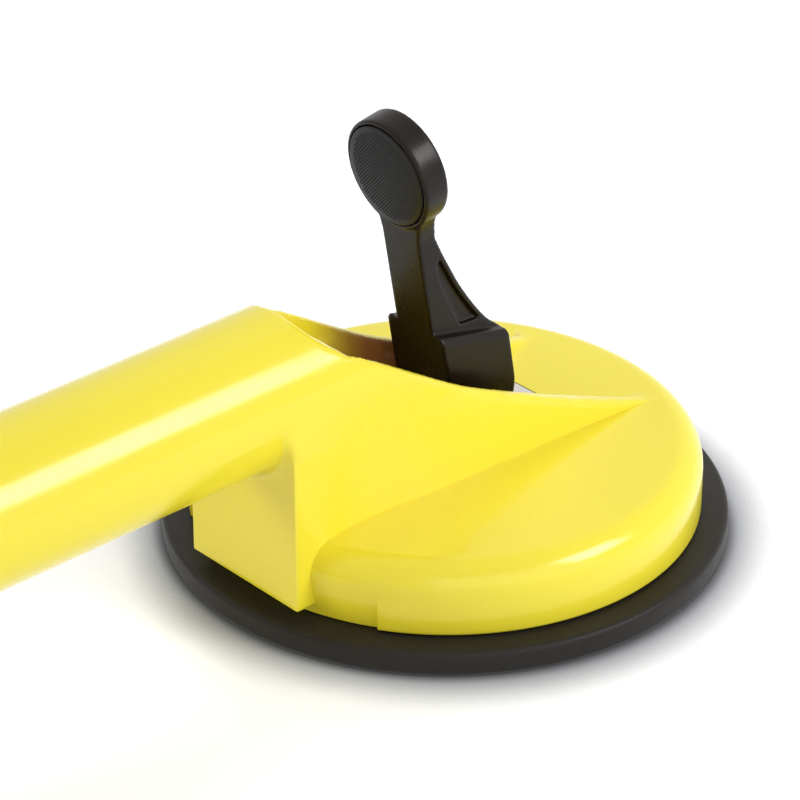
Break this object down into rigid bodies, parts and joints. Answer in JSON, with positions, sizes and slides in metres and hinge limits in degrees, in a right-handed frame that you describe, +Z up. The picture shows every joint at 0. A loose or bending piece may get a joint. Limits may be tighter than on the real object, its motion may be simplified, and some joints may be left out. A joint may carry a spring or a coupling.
{
  "type": "floor tile suction lifter",
  "caption": "Handheld lifter with a round grip between two rubber suction discs, each drawn tight by an upright cam lever with a thumb disc, for raising flat floor tiles.",
  "frame": {"origin": "on the floor under the middle of the handle, midway between the two cup axes", "axes": "+X along the handle from cup b to cup a, +Z up, away from the tile that the discs sit on"},
  "size_m": [0.35, 0.12, 0.0994],
  "materials": {
    "yellow_plastic": "glossy moulded plastic",
    "black_rubber": "smooth matt rubber",
    "black_plastic": "satin moulded plastic",
    "thumb_pad_plastic": "fine dotted grip texture",
    "plated_steel": "zinc plated",
    "white_nylon": "natural nylon"
  },
  "bodies": {
    "housing": {"body_shell": "yellow_plastic", "grip_cover": "yellow_plastic", "suction_disc_a": "black_rubber", "suction_disc_b": "black_rubber", "stud_guide_a": "white_nylon", "stud_guide_b": "white_nylon", "wear_plate_a": "plated_steel", "wear_plate_b": "plated_steel"},
    "plunger_a": {"insert_plate_a": "plated_steel", "draw_stud_a": "plated_steel", "stud_nut_a": "plated_steel", "pivot_pin_a": "plated_steel"},
    "cam_lever_a": {"lever_a": "black_plastic", "thumb_pad_a": "thumb_pad_plastic"},
    "plunger_b": {"insert_plate_b": "plated_steel", "draw_stud_b": "plated_steel", "stud_nut_b": "plated_steel", "pivot_pin_b": "plated_steel"},
    "cam_lever_b": {"lever_b": "black_plastic", "thumb_pad_b": "thumb_pad_plastic"}
  },
  "joints": [
    {"name": "plunger_a_slide", "type": "slide", "parent": "housing", "child": "plunger_a", "axis": [0, 0, 1], "range_m": [0, 0.00361], "deforming": ["suction_disc_a"]},
    {"name": "lever_a_pivot", "type": "hinge", "parent": "plunger_a", "child": "cam_lever_a", "pos_m": [0.115, 0, 0.0304], "axis": [0, 1, 0], "range_deg": [0, 100]},
    {"name": "plunger_b_slide", "type": "slide", "parent": "housing", "child": "plunger_b", "axis": [0, 0, 1], "range_m": [0, 0.00361], "deforming": ["suction_disc_b"]},
    {"name": "lever_b_pivot", "type": "hinge", "parent": "plunger_b", "child": "cam_lever_b", "pos_m": [-0.115, 0, 0.0304], "axis": [0, -1, 0], "range_deg": [0, 100]}
  ],
  "couplings": [
    {"joint": "plunger_a_slide", "follows": "lever_a_pivot", "m_per_rad": 0.0020626},
    {"joint": "plunger_b_slide", "follows": "lever_b_pivot", "m_per_rad": 0.0020626}
  ]
}
